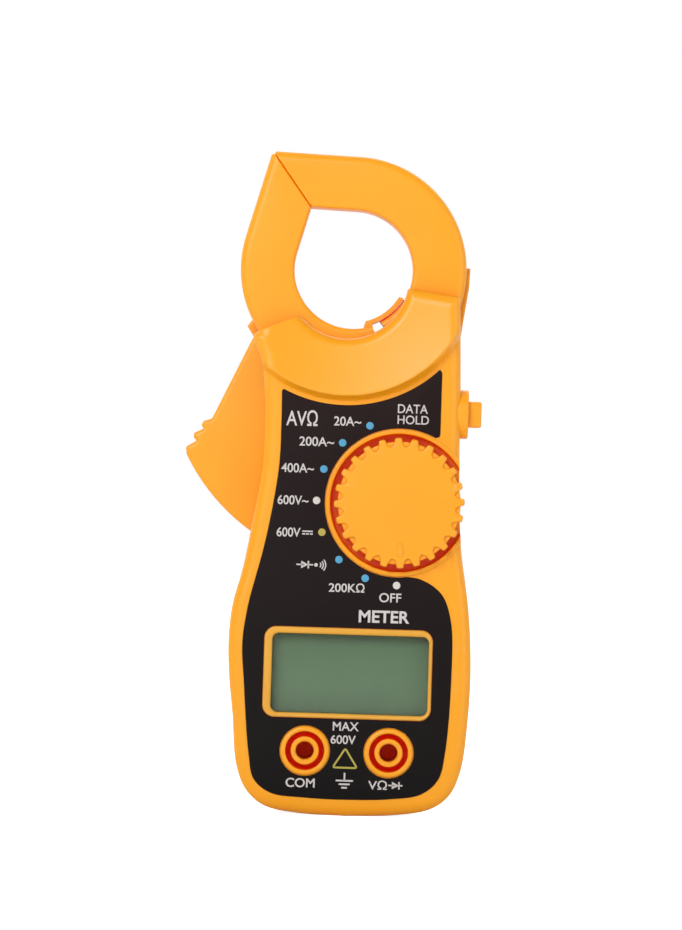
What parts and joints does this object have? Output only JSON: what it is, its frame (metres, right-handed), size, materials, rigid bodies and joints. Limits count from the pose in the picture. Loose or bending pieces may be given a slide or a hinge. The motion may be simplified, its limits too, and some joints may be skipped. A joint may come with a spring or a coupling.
{
  "type": "clamp meter",
  "caption": "Hand-held clamp meter with a trigger-opened jaw ring, a round range dial, a display, a side hold button, test sockets and a rear battery cover.",
  "frame": {"origin": "on the flat back of the rear housing, on the centre line of the display and sockets, level with the range dial's axis", "axes": "+Z runs from the sockets up to the jaws, +Y out of the back, -Y out of the face, +X towards the hold button"},
  "size_m": [0.0671, 0.0279, 0.1505],
  "materials": {
    "case_orange": "satin",
    "face_black": "matte",
    "clear_lens": "polished",
    "display_grey": "smooth",
    "white_plastic": "matte",
    "dark_plastic": "matte",
    "board_green": "satin",
    "steel": "brushed",
    "nickel": "satin",
    "brass": "satin",
    "copper": "enamelled",
    "label_grey": "printed",
    "cell_wrap": "glossy",
    "wire_red": "matte"
  },
  "bodies": {
    "case": {"front_housing": "case_orange", "rear_housing": "case_orange", "fixed_jaw_front_cover": "case_orange", "fixed_jaw_rear_cover": "case_orange", "case_screw_1": "steel", "case_screw_2": "steel", "case_screw_3": "steel", "case_screw_4": "steel", "face_label": "face_black", "back_label": "label_grey", "fixed_jaw_core": "steel", "coil_bobbin": "white_plastic", "coil_winding": "copper", "jaw_pivot_pin": "steel", "jaw_return_spring": "steel", "hold_switch_body": "dark_plastic", "display_lens": "clear_lens", "display_glass": "display_grey", "display_frame": "white_plastic", "zebra_strip": "dark_plastic", "main_board": "board_green", "chip_blob": "dark_plastic", "buzzer_disc": "brass", "thermistor": "wire_red", "trimmer": "cell_wrap", "common_socket": "brass", "voltage_socket": "brass", "coil_lead_1": "wire_red", "coil_lead_2": "dark_plastic", "battery_lower": "cell_wrap", "battery_upper": "cell_wrap", "battery_contact_positive": "nickel", "battery_contact_negative": "nickel", "battery_link": "nickel"},
    "swinging_jaw": {"swinging_jaw_front_cover": "case_orange", "swinging_jaw_rear_cover": "case_orange", "swinging_jaw_core": "steel"},
    "dial": {"dial_knob": "case_orange", "dial_rotor": "white_plastic", "detent_ball_1": "steel", "detent_ball_2": "steel", "detent_spring_1": "steel", "detent_spring_2": "steel", "wiper_contact_1": "brass", "wiper_contact_2": "brass"},
    "button": {"hold_button": "case_orange", "hold_switch_plunger": "dark_plastic"},
    "cover": {"battery_cover": "case_orange", "battery_cover_screw": "steel"}
  },
  "joints": [
    {"name": "jaw_open", "type": "hinge", "parent": "case", "child": "swinging_jaw", "pos_m": [0.0025, -0.012, 0.0308], "axis": [0, -1, 0], "range_deg": [0, 26], "deforming": ["jaw_return_spring"]},
    {"name": "dial_turn", "type": "hinge", "parent": "case", "child": "dial", "pos_m": [0.01015, -0.0235, 0], "axis": [0, 1, 0], "range_deg": [0, 157.5]},
    {"name": "hold_press", "type": "slide", "parent": "case", "child": "button", "axis": [-1, 0, 0], "range_m": [0, 0.0008]},
    {"name": "cover_lift", "type": "slide", "parent": "case", "child": "cover", "axis": [0, 1, 0], "range_m": [0, 0.03]}
  ]
}
